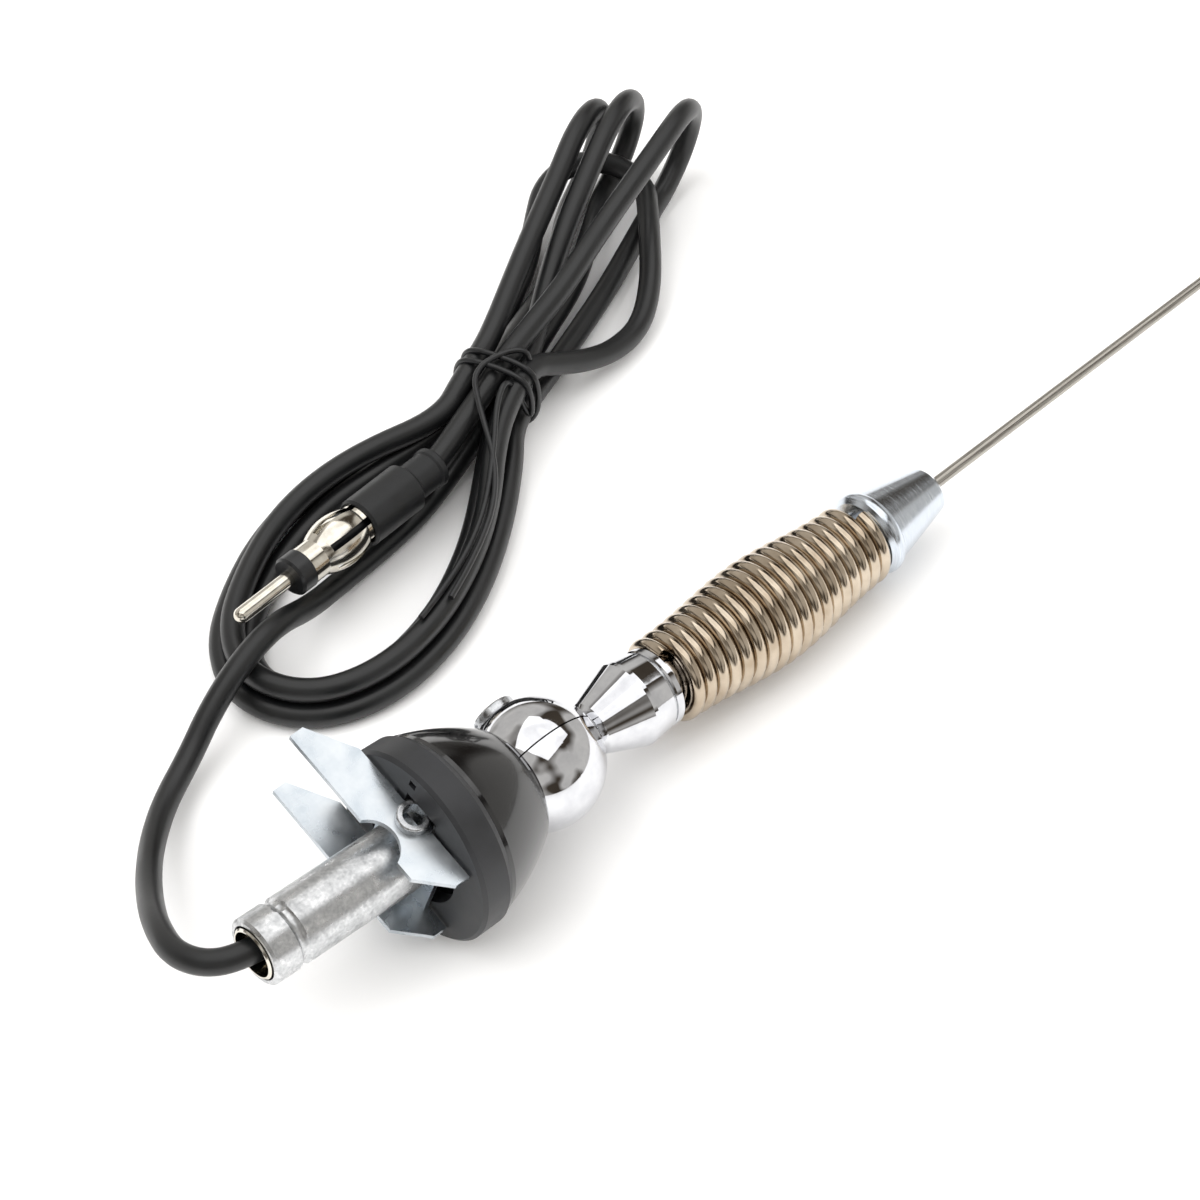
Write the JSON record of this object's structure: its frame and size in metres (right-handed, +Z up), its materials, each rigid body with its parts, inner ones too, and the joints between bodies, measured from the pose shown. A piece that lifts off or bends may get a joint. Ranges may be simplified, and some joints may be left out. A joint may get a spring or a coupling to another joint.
{
  "type": "vehicle whip antenna",
  "caption": "Spring-mounted whip antenna on a tilting ball base with a clamp claw under its gasket, a coiled and tied coaxial lead and a radio plug.",
  "frame": {"origin": "where the mount tube's axis crosses the gasket's mounting face", "axes": "+X level along the whip towards its tip, +Z up from the surface that the antenna lies on, +Y towards the coiled lead"},
  "size_m": [0.4792, 0.1502, 0.0402],
  "materials": {
    "satin_rubber": "satin moulded rubber",
    "gloss_black_enamel": "gloss",
    "chrome_casting": "mirror chrome plating",
    "bright_steel": "bright turned steel",
    "zinc_tube": "mottled bright zinc plating",
    "zinc_sheet": "bluish zinc plating with a satin sheen",
    "spring_nickel": "warm nickel plating",
    "satin_chrome": "satin chrome plating",
    "whip_steel": "drawn stainless wire",
    "plug_nickel": "bright nickel plating",
    "brass": "bare brass",
    "nylon": "natural nylon",
    "red_fibre": "vulcanised fibre",
    "black_plastic": "moulded plastic",
    "coax_jacket": "soft vinyl with a low sheen",
    "boot_rubber": "matt moulded rubber"
  },
  "bodies": {
    "base": {"base_bell": "gloss_black_enamel", "base_gasket": "satin_rubber", "base_knuckle": "chrome_casting", "coax_hank": "coax_jacket", "coax_lead": "coax_jacket", "coax_tail": "coax_jacket", "contact_lug": "brass", "friction_disc": "red_fibre", "hank_tie": "black_plastic", "lead_inner": "coax_jacket", "lead_sleeve": "plug_nickel", "mount_tube": "zinc_tube", "pivot_screw": "bright_steel", "pivot_washer": "bright_steel", "plug_boot": "boot_rubber", "plug_core": "black_plastic", "plug_insulator": "black_plastic", "plug_pin": "plug_nickel", "plug_shell": "plug_nickel", "plug_sleeve": "boot_rubber", "stem_insulator": "nylon", "stem_nut": "bright_steel"},
    "claw": {"claw_bracket": "zinc_sheet", "claw_bush": "bright_steel"},
    "mast": {"mast_knuckle": "chrome_casting", "lock_washer": "bright_steel", "spring_plug": "chrome_casting", "mast_spring": "spring_nickel"},
    "whip": {"upper_ferrule": "satin_chrome", "whip": "whip_steel", "tip_bead": "satin_chrome"}
  },
  "joints": [
    {"name": "mast_swivel", "type": "hinge", "parent": "base", "child": "mast", "pos_m": [0.03083, 0, -0.00326], "axis": [0.0256, 0.9699, 0.2423], "range_deg": [-90, 90]},
    {"name": "spring_flex", "type": "hinge", "parent": "mast", "child": "whip", "pos_m": [0.09062, 0, -0.00881], "axis": [0, 1, 0], "range_deg": [-25, 25], "stiffness_Nm_per_rad": 2, "deforming": ["mast_spring"]},
    {"name": "claw_slide", "type": "slide", "parent": "base", "child": "claw", "axis": [-0.9945, 0, 0.1052], "range_m": [0, 0.014]}
  ]
}
